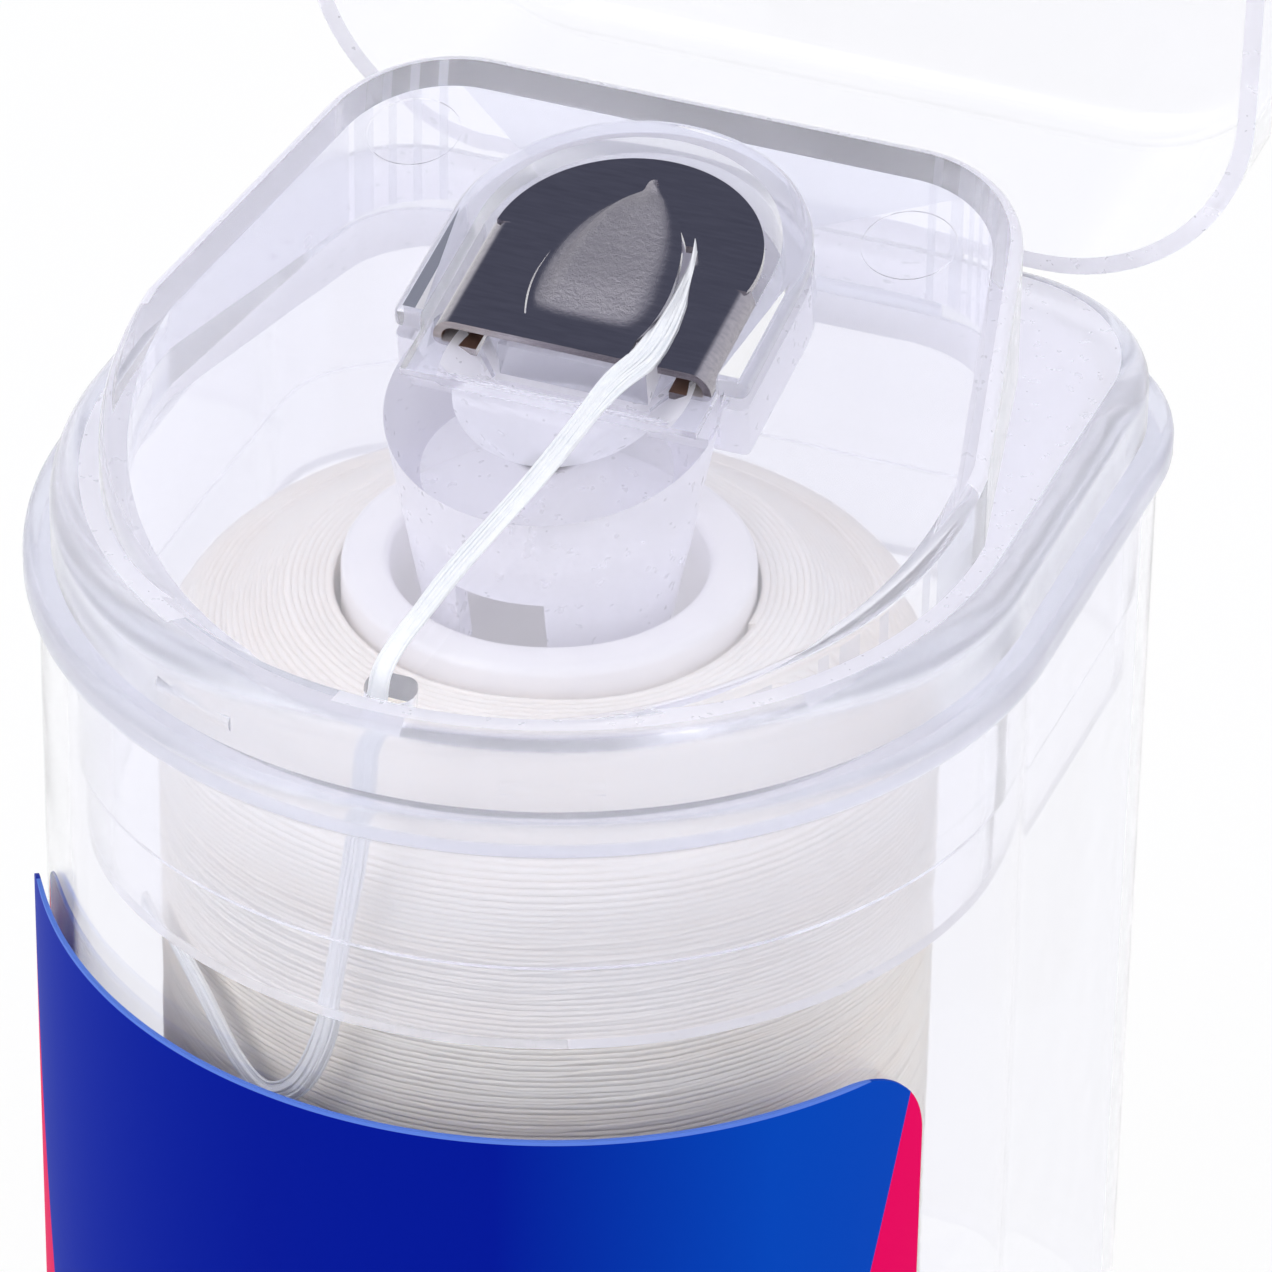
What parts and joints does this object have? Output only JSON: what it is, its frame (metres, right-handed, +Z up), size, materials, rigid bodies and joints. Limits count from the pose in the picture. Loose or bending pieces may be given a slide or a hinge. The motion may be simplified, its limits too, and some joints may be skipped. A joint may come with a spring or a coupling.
{
  "type": "dental floss dispenser",
  "caption": "Clear flip-lid floss case with a wound bobbin, a sloped deck with an outlet and spindle, and a stamped steel cutter.",
  "frame": {"origin": "centre of the case's flat base, on the bobbin's axis", "axes": "+Z up along the bobbin's axis, -Y to the round front, +Y to the hinge at the back, +X to the right"},
  "size_m": [0.036, 0.0504, 0.0799],
  "materials": {
    "clear_plastic": "clear moulded polypropylene",
    "insert_plastic": "clear moulded polypropylene, frosted at its thick edges",
    "steel": "bright stamped stainless steel",
    "white_plastic": "white moulded plastic",
    "floss": "waxed cream-white floss",
    "label_film": "printed film, deep blue with magenta sides"
  },
  "bodies": {
    "case": {"case_body": "clear_plastic", "deck_insert": "insert_plastic", "cutter": "steel", "floss_strand": "floss", "front_label": "label_film"},
    "bobbin": {"bobbin_core": "white_plastic", "floss_winding": "floss", "floss_turns": "floss"},
    "lid": {"lid": "clear_plastic"}
  },
  "joints": [
    {"name": "bobbin_spin", "type": "hinge", "parent": "case", "child": "bobbin", "pos_m": [0, 0, 0.02], "axis": [0, 0, 1], "continuous": true},
    {"name": "lid_hinge", "type": "hinge", "parent": "case", "child": "lid", "pos_m": [0, 0.02035, 0.04015], "axis": [1, 0, 0], "range_deg": [-88, 92]}
  ]
}
